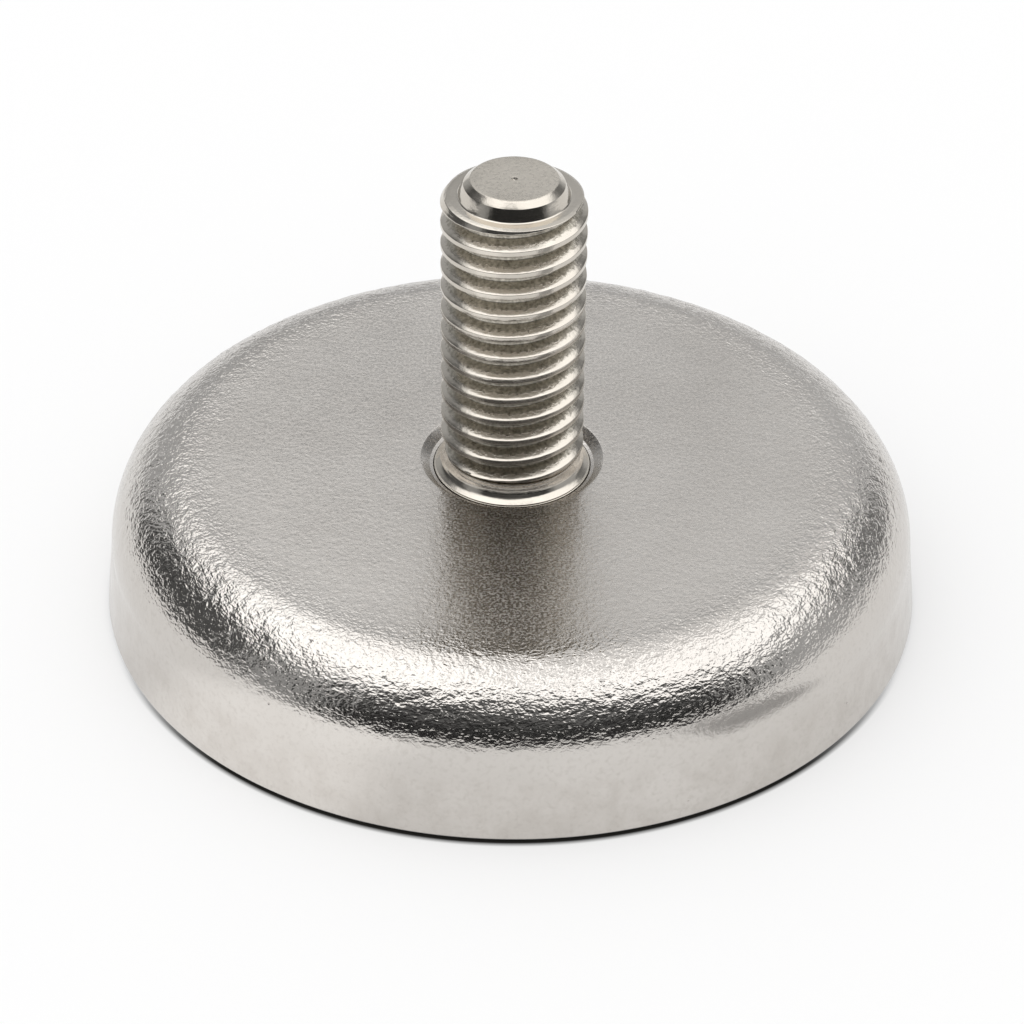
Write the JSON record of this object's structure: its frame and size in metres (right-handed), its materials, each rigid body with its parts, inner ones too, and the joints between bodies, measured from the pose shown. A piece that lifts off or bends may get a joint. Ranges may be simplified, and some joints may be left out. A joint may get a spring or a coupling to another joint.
{
  "type": "pot magnet with threaded stud",
  "caption": "Round nickel-plated steel cup holding a ring magnet face down, with a male M6 stud rising from the middle of its closed top for hanging or fixing the magnet.",
  "frame": {"origin": "centre of the working face, on the plane of the cup's rim, where the magnet stands on flat steel", "axes": "+Z along the stud, away from the working face; +X and +Y lie in the working face and are free, because everything but the thread is round"},
  "size_m": [0.0344, 0.0344, 0.0199],
  "materials": {
    "cup_nickel": "bright nickel plate over drawn steel, fine orange peel on top and a crinkled grain round the shoulder",
    "stud_nickel": "nickel plate over turned and rolled steel, smooth and slightly warm",
    "magnet_nickel": "bright nickel plate over sintered neodymium, satin ground face",
    "adhesive": "cured anaerobic adhesive, amber",
    "potting_resin": "cast epoxy, black, slightly sunk between the steel and the magnet"
  },
  "bodies": {
    "root": {"steel_cup": "cup_nickel", "threaded_stud": "stud_nickel", "ring_magnet": "magnet_nickel", "magnet_adhesive_film": "adhesive", "outer_resin_ring": "potting_resin", "centre_resin_plug": "potting_resin"}
  },
  "joints": []
}
